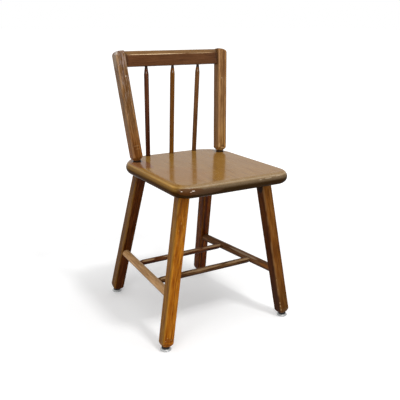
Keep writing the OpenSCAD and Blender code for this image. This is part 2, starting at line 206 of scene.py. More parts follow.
def sawn_piece(node, name, matrix, knocks=(), voxel=0.0012, wear=0.0004):
    """A square-section piece: the frame's shape, evenly meshed in its own upright frame and worn."""
    obj = bpy.data.objects.new(name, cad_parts[node].data.copy())
    bpy.context.scene.collection.objects.link(obj)
    only(obj)
    obj.data.materials.clear()
    bpy.ops.object.mode_set(mode="EDIT")
    bpy.ops.mesh.select_all(action="SELECT")
    bpy.ops.mesh.remove_doubles(threshold=NEAR)
    done()
    settle(obj, matrix.inverted())
    apply_modifier(obj, "REMESH", mode="VOXEL", voxel_size=voxel, adaptivity=0.0)
    apply_modifier(obj, "SMOOTH", factor=0.5, iterations=2)
    apply_modifier(obj, "DISPLACE", texture=HANDWORK, strength=-wear, mid_level=0.0, texture_coords="LOCAL")
    if knocks:
        apply_modifier(
            obj, "DISPLACE", texture=KNOCKS, strength=-0.0016, mid_level=0.35,
            texture_coords="LOCAL", vertex_group=knock_group(obj, knocks),
        )
        obj.vertex_groups.clear()
    settle(obj, matrix)
    smooth(obj, 60)
    return obj


def turned_piece(name, start, end, rings, sides=40, step=0.012, wear=0.0003):
    """A round rod between two points. rings gives (distance from the start, diameter), end to end."""
    first, last = rings[0][0], rings[-1][0]
    bpy.ops.mesh.primitive_cylinder_add(
        vertices=sides, radius=0.5, depth=last - first, end_fill_type="NGON",
        location=(0, 0, (first + last) / 2),
    )
    obj = new_piece(name)
    bpy.ops.object.transform_apply(location=True, rotation=True, scale=True)
    for at, _ in rings[1:-1]:
        pick(obj, verts=lambda c: True)
        bpy.ops.mesh.bisect(plane_co=(0, 0, at), plane_no=(0, 0, 1))
    done()
    for at, d in rings:
        pick(obj, verts=lambda c: abs(c.z - at) < NEAR)
        bpy.ops.transform.resize(value=(d, d, 1), center_override=(0, 0, at))
    # the long plain stretch is divided too, so that its surface can wander
    pick(obj, edges=lambda a, b: abs(a.z - b.z) > 6 * step)
    bpy.ops.mesh.subdivide(number_cuts=int((last - first) / step))
    pick(obj, faces=lambda c, nrm: abs(nrm.z) > 0.99)
    bpy.ops.mesh.inset(thickness=0.001)
    done()
    apply_modifier(obj, "DISPLACE", texture=HANDWORK, strength=-wear, mid_level=0.0, texture_coords="LOCAL")
    matrix = placed(start, along(end - start))
    settle(obj, matrix)
    smooth(obj, 40)
    return obj, matrix


# --------------------------------------------------------------------------------------
# Materials
# --------------------------------------------------------------------------------------
class Nodes:
    """Builds one node tree, a line at a time."""

    def __init__(self, owner, output="OutputMaterial"):
        owner.use_nodes = True
        self.tree = owner.node_tree
        self.tree.nodes.clear()
        self.out = self.add(output)

    def add(self, kind, **inputs):
        """Adds a node. i0, i1 and so on are its inputs by number; other names are inputs or settings."""
        node = self.tree.nodes.new("ShaderNode" + kind)
        for key, value in inputs.items():
            if hasattr(node, key) and key not in node.inputs:
                setattr(node, key, value)
                continue
            socket = node.inputs[int(key[1:])] if key[0] == "i" and key[1:].isdigit() else node.inputs[key]
            if isinstance(value, bpy.types.NodeSocket):
                self.tree.links.new(value, socket)
            else:
                socket.default_value = value
        return node

    def finish(self, shader):
        """Links the shader to the output."""
        self.tree.links.new(shader.outputs[0], self.out.inputs[0])

    def math(self, op, a, b=0.0, c=0.0, clamp=False):
        return self.add("Math", operation=op, i0=a, i1=b, i2=c, use_clamp=clamp).outputs[0]

    def ramp(self, value, low, high, out_low=0.0, out_high=1.0):
        """A smooth slope of a value, from one level to another."""
        node = self.add("MapRange", interpolation_type="SMOOTHSTEP", Value=value)
        for key, number in zip(("From Min", "From Max", "To Min", "To Max"), (low, high, out_low, out_high)):
            node.inputs[key].default_value = number
        return node.outputs["Result"]

    def stretch(self, vector, scale):
        node = self.add("VectorMath", operation="MULTIPLY", i0=vector)
        node.inputs[1].default_value = scale
        return node.outputs[0]

    def noise(self, vector, scale, detail=3.0, rough=0.55, grain=1.0):
        """Noise, drawn out along the grain where grain is below 1."""
        if grain != 1.0:
            vector = self.stretch(vector, (1, 1, grain))
        node = self.add("TexNoise", Vector=vector, Scale=scale, Detail=detail, Roughness=rough)
        return node.outputs[0]

    def mix(self, factor, a, b, blend="MIX"):
        node = self.add("Mix", data_type="RGBA", blend_type=blend)
        for socket, value in ((node.inputs[0], factor), (node.inputs[6], a), (node.inputs[7], b)):
            if isinstance(value, bpy.types.NodeSocket):
                self.tree.links.new(value, socket)
            else:
                socket.default_value = value if isinstance(value, float) else (*value, 1.0)
        return node.outputs[2]

    def patch(self, vector, centre, reach):
        """1 at a patch's centre, falling to 0 at its reach, which is given for each axis."""
        node = self.add("Mapping", vector_type="TEXTURE", Vector=vector)
        node.inputs["Location"].default_value = centre
        node.inputs["Scale"].default_value = reach
        away = self.add("VectorMath", operation="LENGTH", i0=node.outputs[0]).outputs["Value"]
        return self.ramp(away, 1.0, 0.45)


def piece_coords(n, matrix, shift):
    """A piece's own frame, with Z along its grain, and the same moved so that each piece's figure differs."""
    own = n.add("Mapping", vector_type="TEXTURE", Vector=n.add("TexCoord").outputs["Object"])
    own.inputs["Location"].default_value = matrix.to_translation()
    own.inputs["Rotation"].default_value = matrix.to_euler("XYZ")
    moved = n.add("VectorMath", operation="ADD", i0=own.outputs[0])
    moved.inputs[1].default_value = (shift, 0.37 * shift, 0.73 * shift)
    return own.outputs[0], moved.outputs[0]


# how far the darkest and lightest stain lie from the middle tone, and each figure's share in the tone
TONE_SPREAD, STREAK_SHARE, BROAD_SHARE, FIBRE_SHARE = 0.1, 0.65, 0.17, 0.18
# how far the worn arrises and the lines wander, in metres, and how ragged the marks' edges are
ARRIS_WANDER, LINE_WANDER, MARK_RAGGED = 0.003, 0.0014, 1.1
PORE_ROUGH, RUB_ROUGH, DULLED = 0.15, 0.2, 0.1


def stained_wood(
    name, matrix, tones, shift, contrast=1.0, faces=(), marks=(), arris=None, lines=(), flecks=None,
    dull=None, shine=0.06, rough=0.34, coat=0.04, coat_rough=0.12, pores=0.5, grain_bump=0.35,
):
    """Stained and varnished wood, with streaks, open pores, rubbed arrises and its own marks, some of which
    are painted light and shade.

    tones are the dark, middle and light stain. All places are in the piece's own frame:
    faces are (axis, sign, start, end, tint) slopes across the section.
    marks are (centre, reach, colour, strength) patches.
    lines are (axis, at, width, tint) streaks along the piece.
    arris is the (start, end, colour, amount) of the rubbed edges, where start and end are sums of x and y.
    flecks is the (start, end, colour, amount) of pale open grain that grows between two heights.
    dull is the (axis, start, end) over which the gloss is lost.
    """
    n = Nodes(bpy.data.materials.new(name))
    local, p = piece_coords(n, matrix, shift)
    axes = dict(zip("xyz", n.add("SeparateXYZ", Vector=local).outputs))
    dark, middle, light = tones

    streak = n.noise(p, 330.0, 4.0, 0.65, grain=0.055)
    fibre = n.noise(p, 900.0, 2.0, grain=0.05)
    broad = n.noise(p, 46.0, 2.0, grain=0.14)
    breakup = n.noise(p, 160.0, 3.0, 0.65, grain=0.25)
    pore = n.ramp(fibre, 0.58, 0.68)

    tone = n.math("MULTIPLY", fibre, FIBRE_SHARE)
    tone = n.math("MULTIPLY_ADD", broad, BROAD_SHARE, tone)
    tone = n.math("MULTIPLY_ADD", streak, STREAK_SHARE, tone)
    spread = TONE_SPREAD / contrast
    colour = n.mix(n.ramp(tone, 0.5 - spread, 0.5), dark, middle)
    colour = n.mix(n.ramp(tone, 0.5, 0.5 + spread), colour, light)
    colour = n.mix(n.math("MULTIPLY", pore, pores), colour, tuple(c * 0.5 for c in dark))
    if flecks:
        start, end, fleck_colour, amount = flecks
        fleck = n.math("MULTIPLY", n.ramp(fibre, 0.46, 0.36), n.ramp(axes["z"], start, end, 0.0, amount))
        colour = n.mix(fleck, colour, fleck_colour)
    for axis, sign, start, end, tint in faces:
        side = n.ramp(n.math("MULTIPLY", axes[axis], float(sign)), start, end)
        colour = n.mix(side, colour, tint, "MULTIPLY")
    for axis, at, width, tint in lines:
        off = n.math("ABSOLUTE", n.math("SUBTRACT", axes[axis], at))
        off = n.math("MULTIPLY_ADD", breakup, LINE_WANDER, n.math("SUBTRACT", off, LINE_WANDER / 2))
        colour = n.mix(n.ramp(off, width, 0.3 * width), colour, tint, "MULTIPLY")
    rubbed = None
    if arris:
        start, end, rub_colour, amount = arris
        edge = n.math("ADD", n.math("ABSOLUTE", axes["x"]), n.math("ABSOLUTE", axes["y"]))
        edge = n.math("MULTIPLY_ADD", breakup, ARRIS_WANDER, n.math("SUBTRACT", edge, ARRIS_WANDER / 2))
        rubbed = n.ramp(n.noise(p, 38.0, grain=0.5), 0.38, 0.62, 0.15, 1.0)
        rubbed = n.math("MULTIPLY", n.math("MULTIPLY", n.ramp(edge, start, end), rubbed), amount)
        colour = n.mix(rubbed, colour, rub_colour)
    for centre, reach, mark_colour, strength in marks:
        within = n.patch(local, centre, reach)
        ragged = n.math("MULTIPLY_ADD", n.math("SUBTRACT", breakup, 0.5), MARK_RAGGED, within)
        shown = n.math("MULTIPLY", n.ramp(ragged, 0.3, 0.7), n.ramp(within, 0.0, 0.2))
        colour = n.mix(n.math("MULTIPLY", shown, strength), colour, mark_colour)

    roughness = n.ramp(n.noise(p, 45.0), 0.3, 0.75, rough - 0.05, rough + 0.1)
    roughness = n.math("MULTIPLY_ADD", pore, PORE_ROUGH, roughness)
    if rubbed:
        roughness = n.math("MULTIPLY_ADD", rubbed, RUB_ROUGH, roughness)
    height = n.math("MULTIPLY_ADD", streak, 0.4, n.math("MULTIPLY", n.noise(p, 60.0, 2.0), 0.6))
    height = n.math("MULTIPLY_ADD", pore, -0.4, height)
    bump = n.add("Bump", Strength=grain_bump, Distance=0.0006, Height=height)
    shader = n.add("BsdfPrincipled", Roughness=roughness, Normal=bump.outputs[0])
    n.tree.links.new(colour, shader.inputs["Base Color"])
    gloss = {"Specular IOR Level": shine, "Coat Weight": coat}
    for socket, value in gloss.items():
        shader.inputs[socket].default_value = value
    shader.inputs["Coat Roughness"].default_value = coat_rough
    if dull:
        axis, start, end = dull
        for socket, value in gloss.items():
            n.tree.links.new(n.ramp(axes[axis], start, end, value, DULLED * value), shader.inputs[socket])
    n.finish(shader)
    return bpy.data.materials[name]


def dress(obj, material, node):
    """Gives a new piece its finish and its body, and hides the frame node it stands for."""
    obj.data.materials.clear()
    obj.data.materials.append(material)
    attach(obj, "root")
    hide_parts(node)


# --------------------------------------------------------------------------------------
# Seat
# --------------------------------------------------------------------------------------
def bore(obj, mouth, direction, d, depth):
    """Cuts a round hole from just outside its mouth, along a direction into the piece."""
    bpy.ops.mesh.primitive_cylinder_add(vertices=48, radius=d / 2, depth=2 * depth)
    cutter = new_piece("bit")
    settle(cutter, placed(mouth, along(direction)))
    apply_modifier(obj, "BOOLEAN", operation="DIFFERENCE", object=cutter, solver="EXACT")
    bpy.data.objects.remove(cutter)


RIM_SEGMENTS, FRONT_CORNER_SEGMENTS, REAR_CORNER_SEGMENTS = 14, 20, 28
RIM_WELD, HAIR = 0.0004, 0.0001


def make_seat():
    """The seat's plank: its outline, its full half-round rim, and the bores of legs, posts and spindles."""
    bpy.ops.mesh.primitive_plane_add(size=1, location=(0, SEAT_MID, SEAT_UNDER))
    obj = new_piece("seat_plank")
    obj.scale = (2 * SEAT_FRONT_HALF, SEAT_REAR - SEAT_FRONT, 1)
    bpy.ops.object.transform_apply(location=True, rotation=True, scale=True)
    pick(obj, verts=lambda c: c.y > SEAT_MID)
    bpy.ops.transform.resize(value=(SEAT_REAR_HALF / SEAT_FRONT_HALF, 1, 1))
    pick(obj, verts=lambda c: c.y < SEAT_MID)
    bpy.ops.mesh.bevel(affect="VERTICES", offset=SEAT_FRONT_R, segments=FRONT_CORNER_SEGMENTS)
    pick(obj, verts=lambda c: c.y > SEAT_REAR - 0.001)
    bpy.ops.mesh.bevel(affect="VERTICES", offset=SEAT_REAR_R, segments=REAR_CORNER_SEGMENTS)
    bpy.ops.mesh.select_all(action="SELECT")
    bpy.ops.mesh.extrude_region_move(TRANSFORM_OT_translate={"value": (0, 0, SEAT_T)})
    bpy.ops.mesh.select_all(action="SELECT")
    bpy.ops.mesh.normals_make_consistent(inside=False)
    pick(obj, edges=lambda a, b: abs(a.z - b.z) < NEAR)
    bpy.ops.mesh.bevel(affect="EDGES", offset=SEAT_T / 2 - HAIR, segments=RIM_SEGMENTS)
    bpy.ops.mesh.select_all(action="SELECT")
    bpy.ops.mesh.remove_doubles(threshold=RIM_WELD)
    pick(obj, faces=lambda c, nrm: abs(nrm.z) > 0.999)
    bpy.ops.mesh.inset(thickness=0.004)
    done()
    for side in SIDES:
        for row in ROWS:
            mouth = leg_point(side, row, SEAT_UNDER)
            bore(obj, mouth, mouth - leg_point(side, row, 0), LEG_TENON_D + 2 * FIT, TENON_L)
        mouth = post_point(side, SEAT_TOP)
        bore(obj, mouth, post_point(side, 1) - mouth, POST_TENON_D + 2 * FIT, TENON_L)
    for place in (LEFT, 0, RIGHT):
        foot, head = spindle_ends(place)
        bore(obj, foot, head - foot, SPINDLE_NECK_D + 2 * FIT, SPINDLE_TENON + 0.001)
    smooth(obj, 50)
    apply_modifier(obj, "WEIGHTED_NORMAL", keep_sharp=True, weight=100)
    return obj


# in the seat's own frame X runs to the right, Y down from the top and Z back from the middle
SEAT_MATRIX = placed((0, SEAT_MID, SEAT_TOP), Matrix.Rotation(radians(-90), 3, "X"))
HALF_DEPTH = (SEAT_REAR - SEAT_FRONT) / 2
SPINDLE_RING_SHADE, POST_RING_SHADE = (0.03, 0.012, 0.005), (0.05, 0.02, 0.008)
SEAT_MARKS = [
    # a greyer right edge, and a red-brown front left corner whose lower rim is darkened with painted shade
    ((0.174, 0.009, 0.0), (0.012, 0.016, 0.16), (0.2, 0.11, 0.045), 0.6),
    ((-0.145, 0.014, -HALF_DEPTH + 0.008), (0.055, 0.012, 0.03), (0.085, 0.028, 0.006), 0.75),
    ((-0.1, 0.017, -HALF_DEPTH), (0.065, 0.0095, 0.01), (0.075, 0.04, 0.02), 0.75),
    # painted glints of light round that corner
    ((-0.1648, 0.0125, -0.1763), (0.003, 0.0013, 0.003), (0.9, 0.78, 0.64), 0.85),
    ((-0.1685, 0.0105, -0.173), (0.0022, 0.0014, 0.0022), (1.0, 0.9, 0.78), 0.6),
    ((-0.1387, 0.0115, -0.189), (0.0055, 0.0011, 0.003), (0.95, 0.85, 0.75), 0.85),
    ((-0.145, 0.0135, -0.1885), (0.004, 0.001, 0.003), (0.8, 0.6, 0.45), 0.8),
    # the front edge, with a painted highlight broken in dashes to the right
    ((0.066, 0.0094, -0.1885), (0.006, 0.0009, 0.003), (0.62, 0.5, 0.36), 0.5),
    ((0.092, 0.0084, -0.188), (0.016, 0.0009, 0.003), (0.68, 0.55, 0.4), 0.5),
    ((0.124, 0.0068, -0.187), (0.01, 0.0009, 0.003), (0.65, 0.52, 0.38), 0.45),
    # a painted reflection of the left post, and redder stain on the left
    ((-0.145, 0.0, 0.085), (0.034, 0.01, 0.08), (0.17, 0.06, 0.035), 0.6),
    ((-0.105, 0.0, -0.07), (0.1, 0.008, 0.11), (0.24, 0.103, 0.02), 0.4),
] + [
    # painted contact shade round each spindle and post where it meets the seat
    ((place * SPINDLE_SEAT_GAP, 0, HALF_DEPTH - SPINDLE_INSET), (0.0115, 0.01, 0.0115), SPINDLE_RING_SHADE, 0.9)
    for place in (LEFT, 0, RIGHT)
] + [
    ((side * POST_X, 0, HALF_DEPTH - POST_INSET), (0.022, 0.01, 0.022), POST_RING_SHADE, 0.8) for side in SIDES
]
SEAT_TONES = ((0.195, 0.092, 0.017), (0.255, 0.127, 0.026), (0.305, 0.165, 0.042))
seat_finish = stained_wood(
    "tan_seat_varnish", SEAT_MATRIX, SEAT_TONES, 0.4, contrast=0.7, marks=SEAT_MARKS,
    # the light line round the top of the rim is a painted highlight
    lines=[("y", 0.0045, 0.0014, (1.22, 1.4, 1.7))], pores=0.08, grain_bump=0.12, dull=("y", 0.005, 0.014),
    # greyer towards the front with painted sheen, a lighter left rim from a painted highlight, and painted
    # shade that darkens the rim downwards
    faces=[
        ("z", -1, 0.162, 0.186, (1.06, 1.4, 3.5)),
        ("x", -1, 0.17, 0.1755, (1.5, 1.5, 1.45)),
        ("y", 1, 0.006, 0.0085, (0.53, 0.54, 0.56)),
        ("y", 1, 0.0095, 0.019, (0.21, 0.15, 0.08)),
    ],
    shine=0.06, rough=0.14, coat=0.03, coat_rough=0.06,
)
dress(make_seat(), seat_finish, "seat")

# --------------------------------------------------------------------------------------
# Legs
# --------------------------------------------------------------------------------------
LEG_FACE, LEG_ARRIS = -LEG_W / 2, (0.0262, 0.0292)
LEG_FINISH = {
    (LEFT, FRONT): (
        "orange_brown_wood", ((0.17, 0.038, 0.001), (0.305, 0.092, 0.002), (0.41, 0.15, 0.01)), dict(
            contrast=1.25, flecks=(-0.1, 0.3, (0.6, 0.3, 0.07), 0.3), shine=0.035, coat=0.02,
            faces=[
                ("x", -1, 0.0115, 0.0158, (0.62, 0.77, 1.15)),
                ("x", 1, 0.002, 0.012, (1.1, 1.15, 1.2)),
                # darker towards the top, under the seat: painted shade
                ("z", 1, 0.33, 0.4, (0.85, 0.8, 0.75)),
            ],
            lines=[("x", -0.004, 0.004, (0.9, 0.85, 0.8)), ("x", -0.0115, 0.002, (1.08, 1.1, 1.1))],
            marks=[
                ((0.001, -0.015, 0.031), (0.018, 0.005, 0.009), (0.15, 0.038, 0.003), 0.6),
                ((-0.004, -0.014, 0.02), (0.014, 0.008, 0.004), (0.1, 0.026, 0.004), 0.5),
                ((-0.005, LEG_FACE, 0.038), (0.0016, 0.004, 0.0013), (0.52, 0.3, 0.12), 0.9),
                ((0.006, LEG_FACE, 0.033), (0.002, 0.004, 0.0013), (0.52, 0.3, 0.12), 0.9),
                ((-0.01, -0.0155, 0.03), (0.0016, 0.004, 0.0012), (0.5, 0.3, 0.14), 0.8),
                ((-0.008, LEG_FACE, 0.385), (0.004, 0.004, 0.03), (0.1, 0.035, 0.008), 0.5),
                ((0.003, LEG_FACE, 0.375), (0.003, 0.004, 0.025), (0.11, 0.03, 0.003), 0.4),
                ((-0.002, LEG_FACE, 0.345), (0.002, 0.004, 0.005), (0.5, 0.27, 0.07), 0.4),
                ((0.006, LEG_FACE, 0.336), (0.002, 0.004, 0.006), (0.5, 0.27, 0.07), 0.4),
                ((-0.006, LEG_FACE, 0.326), (0.0018, 0.004, 0.004), (0.5, 0.27, 0.07), 0.35),
            ],
            arris=(*LEG_ARRIS, (0.42, 0.2, 0.03), 0.4),
        ),
    ),
    (RIGHT, FRONT): (
        "brown_wood", ((0.085, 0.023, 0.001), (0.145, 0.045, 0.003), (0.2, 0.075, 0.012)), dict(
            contrast=1.05, shine=0.03, coat=0.02,
            faces=[
                ("x", -1, 0.0125, 0.0155, (0.36, 0.26, 0.1)),
                ("z", -1, -0.18, -0.05, (0.74, 0.8, 0.9)),
                ("x", 1, 0.006, 0.012, (0.72, 0.7, 0.7)),
                ("z", 1, 0.24, 0.4, (1.38, 1.5, 2.0)),
            ],
            marks=[
                ((-0.0142, -0.0142, 0.05), (0.002, 0.002, 0.004), (0.36, 0.22, 0.1), 0.9),
                ((-0.0142, -0.0142, 0.04), (0.002, 0.002, 0.0025), (0.46, 0.3, 0.16), 0.9),
                ((-0.0135, -0.0142, 0.027), (0.0022, 0.0022, 0.0022), (0.5, 0.34, 0.2), 0.9),
                ((-0.0142, -0.0142, 0.095), (0.0015, 0.0015, 0.003), (0.36, 0.22, 0.1), 0.8),
                ((-0.0142, -0.0142, 0.125), (0.0015, 0.0015, 0.003), (0.36, 0.22, 0.1), 0.8),
                ((0.0, LEG_FACE, 0.02), (0.02, 0.02, 0.012), (0.09, 0.05, 0.02), 0.4),
                # the seat's painted shadow across the top of the left face
                ((-0.016, 0.0, 0.412), (0.004, 0.02, 0.03), (0.008, 0.004, 0.002), 0.85),
            ],
            arris=(*LEG_ARRIS, (0.26, 0.13, 0.045), 0.6),
        ),
    ),
    (LEFT, REAR): (
        "dark_brown_wood", ((0.034, 0.007, 0.0002), (0.062, 0.013, 0.0006), (0.1, 0.026, 0.003)), dict(
            contrast=1.3, shine=0.03, coat=0.02,
            faces=[("x", -1, 0.0125, 0.0155, (1.8, 3.0, 3.0))],
            marks=[((-0.0145, -0.0135, 0.24), (0.006, 0.004, 0.14), (0.17, 0.08, 0.018), 0.8)],
            arris=(*LEG_ARRIS, (0.16, 0.07, 0.012), 0.5),
        ),
    ),
    (RIGHT, REAR): (
        "dark_brown_wood", ((0.035, 0.006, 0.0002), (0.075, 0.013, 0.0004), (0.17, 0.052, 0.005)), dict(
            contrast=1.3, shine=0.03, coat=0.02,
            lines=[("x", -0.007, 0.003, (0.45, 0.4, 0.4)), ("x", 0.001, 0.003, (1.9, 1.8, 1.2))],
            arris=(*LEG_ARRIS, (0.14, 0.05, 0.006), 0.5),
        ),
    ),
}
FOOT_KNOCKS = [
    ((-0.004, LEG_FACE, 0.034), 0.006),
    ((0.007, LEG_FACE, 0.03), 0.005),
    ((-0.015, -0.014, 0.042), 0.006),
]
for (side, row), (slot, tones, details) in LEG_FINISH.items():
    where = f"{ROW_NAME[row]}_{SIDE_NAME[side]}"
    foot = leg_point(side, row, 0)
    turn = along(leg_point(side, row, 1) - foot) @ Matrix.Rotation(side * LEGS[row][-1], 3, "Z")
    matrix = placed(foot, turn)
    leg = sawn_piece("leg_" + where, "square_leg_" + where, matrix, knocks=FOOT_KNOCKS)
    finish = stained_wood("stained_leg_" + where, matrix, tones, 0.9 * side + 0.4 * row, **details)
    dress(leg, finish, "leg_" + where)

# --------------------------------------------------------------------------------------
# Posts and rail
# --------------------------------------------------------------------------------------
NECK_DARK_AND_SHADE, POST_ARRIS = (0.012, 0.006, 0.003), (0.0242, 0.0272)
# the bare neck under each post, dark with old varnish and with painted shade where it meets the seat
NECK_SHADE_MARK = ((0.0, 0.0, 0.0), (0.022, 0.022, 0.0075), NECK_DARK_AND_SHADE, 0.95)
POST_FINISH = {
    LEFT: (
        "dry_greyed_wood", ((0.08, 0.03, 0.006), (0.145, 0.063, 0.016), (0.23, 0.115, 0.04)), dict(
            contrast=1.25, pores=0.6, grain_bump=0.5, rough=0.42,
            flecks=(0.0, 0.28, (0.42, 0.32, 0.23), 0.55),
            faces=[
                ("z", 1, 0.17, 0.3, (1.05, 1.2, 1.75)),
                ("z", -1, -0.13, -0.02, (1.14, 0.9, 0.58)),
            ],
            lines=[
                ("x", 0.009, 0.003, (1.2, 1.2, 1.2)),
                ("x", -0.002, 0.0025, (0.78, 0.72, 0.68)),
                ("x", -0.0115, 0.002, (1.35, 1.3, 1.2)),
            ],
            marks=[
                ((-0.011, -0.008, 0.304), (0.007, 0.012, 0.012), (0.5, 0.44, 0.38), 0.7),
                ((0.0, 0.0, 0.312), (0.02, 0.02, 0.007), (0.11, 0.065, 0.04), 0.6),
                ((-0.0155, 0.0, 0.285), (0.003, 0.02, 0.03), (0.3, 0.22, 0.15), 0.6),
                ((0.004, -0.0155, 0.238), (0.0018, 0.003, 0.0018), (0.8, 0.72, 0.6), 1.0),
                ((0.0, -0.015, 0.045), (0.012, 0.004, 0.0012), (0.34, 0.2, 0.09), 0.6),
                ((0.002, -0.015, 0.036), (0.009, 0.004, 0.001), (0.34, 0.2, 0.09), 0.6),
                NECK_SHADE_MARK,
            ],
            arris=(*POST_ARRIS, (0.34, 0.21, 0.11), 0.6),
        ),
    ),
    RIGHT: (
        "brown_wood", ((0.14, 0.058, 0.017), (0.225, 0.108, 0.036), (0.31, 0.17, 0.066)), dict(
            contrast=1.2,
            faces=[
                ("x", -1, 0.0115, 0.0145, (0.8, 0.76, 0.72)),
                ("z", -1, -0.12, -0.02, (1.2, 1.2, 0.95)),
            ],
            lines=[
                # the two light lines, along the near arris and at four-fifths of the width, are painted
                # highlights
                ("x", -0.0118, 0.0018, (1.55, 1.6, 1.7)),
                ("x", 0.0075, 0.0018, (1.5, 1.5, 1.5)),
                ("x", 0.0035, 0.0022, (0.5, 0.44, 0.38)),
                ("x", 0.0115, 0.0022, (0.5, 0.44, 0.38)),
            ],
            marks=[
                ((-0.004, -0.0155, 0.22), (0.0016, 0.003, 0.002), (0.6, 0.45, 0.3), 0.9),
                # a painted highlight round the lower end, and darker inside it
                ((0.0, -0.0145, 0.0105), (0.011, 0.004, 0.003), (0.5, 0.31, 0.13), 0.8),
                ((-0.011, -0.0135, 0.019), (0.003, 0.005, 0.01), (0.5, 0.31, 0.13), 0.8),
                ((0.011, -0.0135, 0.019), (0.003, 0.005, 0.01), (0.5, 0.31, 0.13), 0.8),
                ((0.0, -0.014, 0.0175), (0.007, 0.004, 0.004), (0.05, 0.018, 0.006), 0.6),
                NECK_SHADE_MARK,
                ((0.0, 0.0, 0.312), (0.014, 0.02, 0.006), (0.09, 0.045, 0.02), 0.6),
            ],
            arris=(*POST_ARRIS, (0.36, 0.2, 0.09), 0.55),
        ),
    ),
}
for side, (slot, tones, details) in POST_FINISH.items():
    where = SIDE_NAME[side]
    base = post_point(side, SEAT_TOP)
    matrix = placed(base, along(post_point(side, 1) - base))
    post = sawn_piece("post_" + where, "square_post_" + where, matrix)
    finish = stained_wood("stained_post_" + where, matrix, tones, 1.7 * side, **details)
    dress(post, finish, "post_" + where)

# in the rail's own frame Z runs to the right, X down and Y back
RAIL_MATRIX = placed(
    (0, post_point(LEFT, RAIL_Z).y, RAIL_Z),
    Matrix.Rotation(-POST_RAKE, 3, "X") @ Matrix.Rotation(radians(90), 3, "Y"),
)
BEVEL_FOOT, RAIL_END = RAIL_H - RAIL_BEVEL, 0.152
RAIL_TONES = ((0.07, 0.025, 0.008), (0.1, 0.038, 0.0125), (0.13, 0.053, 0.02))
rail_finish = stained_wood(
    "stained_rail", RAIL_MATRIX, RAIL_TONES, 2.6, contrast=0.8,
    faces=[
        # darker towards the right end beside the post: painted shade
        ("z", 1, 0.1, 0.16, (0.8, 0.8, 0.9)),
        ("x", -1, BEVEL_FOOT + 0.0004, BEVEL_FOOT + 0.0016, (1.45, 1.85, 1.8)),
        # a painted highlight just under the bevel's lower arris
        ("x", -1, BEVEL_FOOT - 0.0022, BEVEL_FOOT - 0.0004, (1.25, 1.3, 1.35)),
    ],
    marks=[
        # painted highlights along the bevel's lower arris
        ((-BEVEL_FOOT - 0.0004, RAIL_FRONT, -0.06), (0.0015, 0.004, 0.13), (0.66, 0.47, 0.28), 0.95),
        ((-BEVEL_FOOT - 0.0004, RAIL_FRONT, 0.09), (0.0013, 0.004, 0.06), (0.5, 0.33, 0.18), 0.7),
    ] + [
        # darker at each end where the rail meets the posts: painted shade
        ((-0.02, RAIL_FRONT, side * RAIL_END), (0.03, 0.03, 0.014), (0.035, 0.016, 0.008), 0.5)
        for side in SIDES
    ],
)
dress(sawn_piece("top_rail", "rail_board", RAIL_MATRIX), rail_finish, "top_rail")

# --------------------------------------------------------------------------------------
# Round pieces: stretchers and spindles
# --------------------------------------------------------------------------------------
SIDE_STRETCHER_FINISH = {
    LEFT: (
        # the left stretcher is pale tan all along
        "worn_light_wood", ((0.3, 0.15, 0.05), (0.46, 0.26, 0.11), (0.56, 0.34, 0.17)),
        [((-0.006, 0.009, 0.2), (0.004, 0.006, 0.1), (0.2, 0.1, 0.042), 0.5)],
    ),
    RIGHT: (
        "brown_wood", ((0.06, 0.022, 0.006), (0.12, 0.05, 0.018), (0.19, 0.095, 0.042)),
        [
            ((0.0085, -0.0075, 0.14), (0.004, 0.004, 0.09), (0.3, 0.21, 0.135), 0.8),
            ((0.004, -0.011, 0.035), (0.006, 0.006, 0.035), (0.24, 0.085, 0.018), 0.75),
            ((0.0, 0.0, 0.21), (0.014, 0.014, 0.02), (0.04, 0.014, 0.006), 0.6),
        ],
    ),
}
for side, (slot, tones, marks) in SIDE_STRETCHER_FINISH.items():
    where = SIDE_NAME[side]
    a, b = leg_point(side, FRONT, STRETCHER_Z), leg_point(side, REAR, STRETCHER_Z)
    rings = [(0, SIDE_STRETCHER_D), ((b - a).length, SIDE_STRETCHER_D)]
    rod, matrix = turned_piece("round_side_stretcher_" + where, a, b, rings)
    finish = stained_wood(
        "stained_side_stretcher_" + where, matrix, tones, 3.1 * side, marks=marks,
        # the darker underside is painted shade
        faces=[("x", -side, -0.002, 0.0085, (0.3, 0.24, 0.2))], shine=0.03, coat=0.02,
    )
    dress(rod, finish, "side_stretcher_" + where)

CROSS_STRETCHER_TONES = {
    FRONT: ((0.045, 0.016, 0.004), (0.11, 0.047, 0.015), (0.19, 0.095, 0.036)),
    REAR: ((0.045, 0.011, 0.003), (0.115, 0.036, 0.011), (0.19, 0.072, 0.026)),
}
for row, (back, d) in CROSS_STRETCHERS.items():
    left, right = (stretcher_point(side, SEAT_FRONT + back) for side in SIDES)
    length, thin, root = (right - left).length, d - 2 * CROSS_TAPER_R, SIDE_STRETCHER_D / 2
    full = root + CROSS_TAPER_L
    rings = [(0, thin), (root, thin), (full, d), (length - full, d), (length - root, thin), (length, thin)]
    rod, matrix = turned_piece("round_cross_stretcher_" + ROW_NAME[row], left, right, rings)
    # light patches along the top front and near the right end: worn varnish with a painted highlight
    worn_and_highlit_top = [
        ((-0.36 * d, -0.34 * d, z), (0.004, 0.005, reach), (0.38, 0.24, 0.125), 0.85)
        for z, reach in ((0.035, 0.03), (0.15, 0.09), (0.27, 0.06), (length - 0.03, 0.03))
    ]
    finish = stained_wood(
        "stained_cross_stretcher_" + ROW_NAME[row], matrix,
        CROSS_STRETCHER_TONES[row], 4.3 * row, marks=worn_and_highlit_top,
        # the darker underside is painted shade
        faces=[("x", 1, -0.003, 0.005, (0.3, 0.22, 0.2))], shine=0.03, coat=0.02, contrast=1.4,
    )
    dress(rod, finish, "cross_stretcher_" + ROW_NAME[row])

